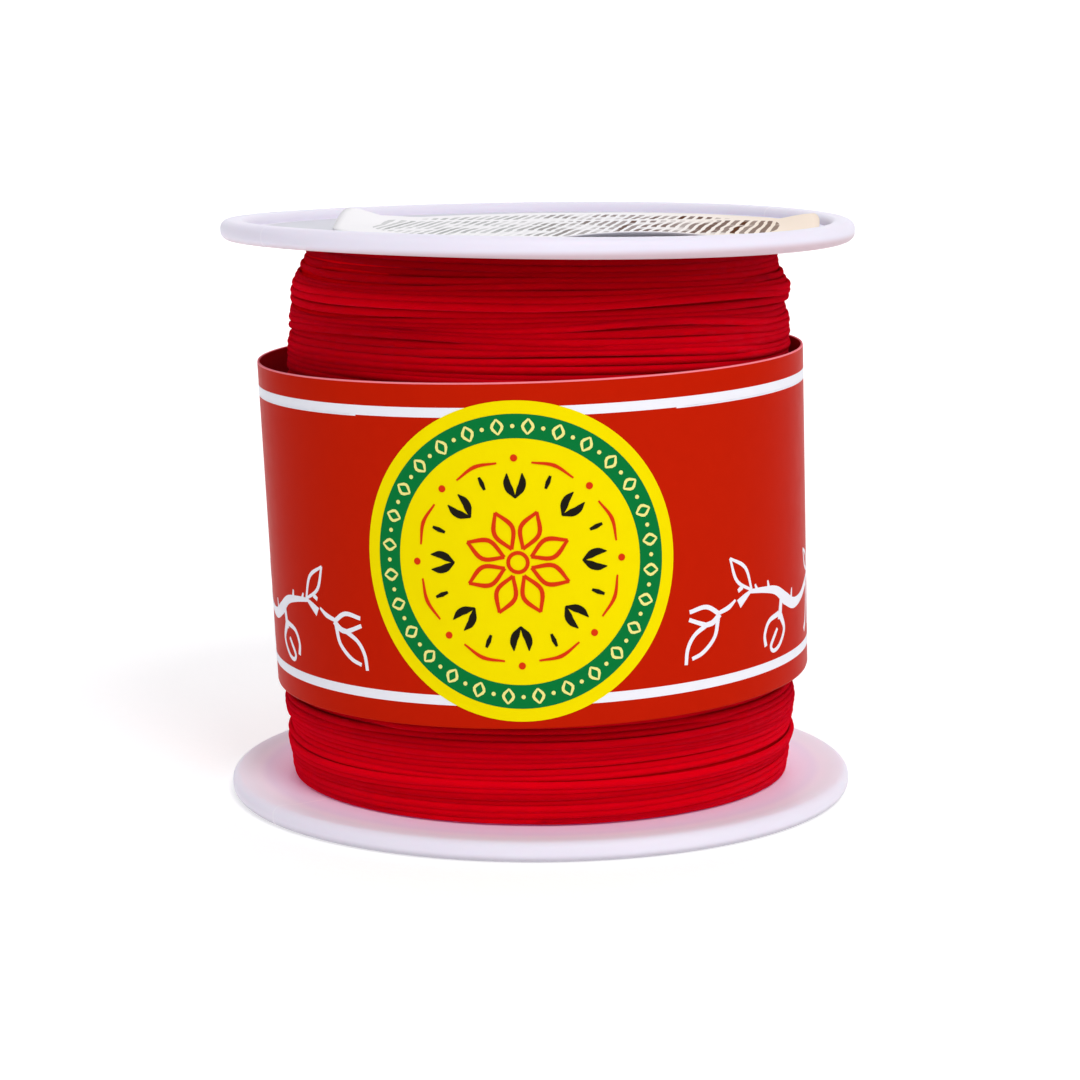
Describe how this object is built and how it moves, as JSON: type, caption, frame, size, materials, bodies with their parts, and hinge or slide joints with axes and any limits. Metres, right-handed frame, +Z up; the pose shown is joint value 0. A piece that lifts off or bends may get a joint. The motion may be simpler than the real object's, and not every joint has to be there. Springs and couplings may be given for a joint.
{
  "type": "spool of chinese knotting cord",
  "caption": "Round plastic spool with rimmed flanges, wound with fine braided knotting cord, in a loose printed paper band, with a paper label in its upper recess.",
  "frame": {"origin": "middle of the ring under the lower rim, on the surface that the spool stands on", "axes": "+Z up along the barrel, -Y towards the front of the printed band, +X to the right seen from the front"},
  "size_m": [0.08, 0.08, 0.0738],
  "materials": {
    "spool_plastic": "milky translucent moulded polypropylene, satin gloss",
    "cord": "fine braided nylon cord with a soft sheen",
    "band_paper": "coated paper printed all over, faint gloss",
    "label_paper": "smooth uncoated white paper"
  },
  "bodies": {
    "root": {"spool": "spool_plastic", "winding": "cord", "band": "band_paper", "label": "label_paper"}
  },
  "joints": []
}
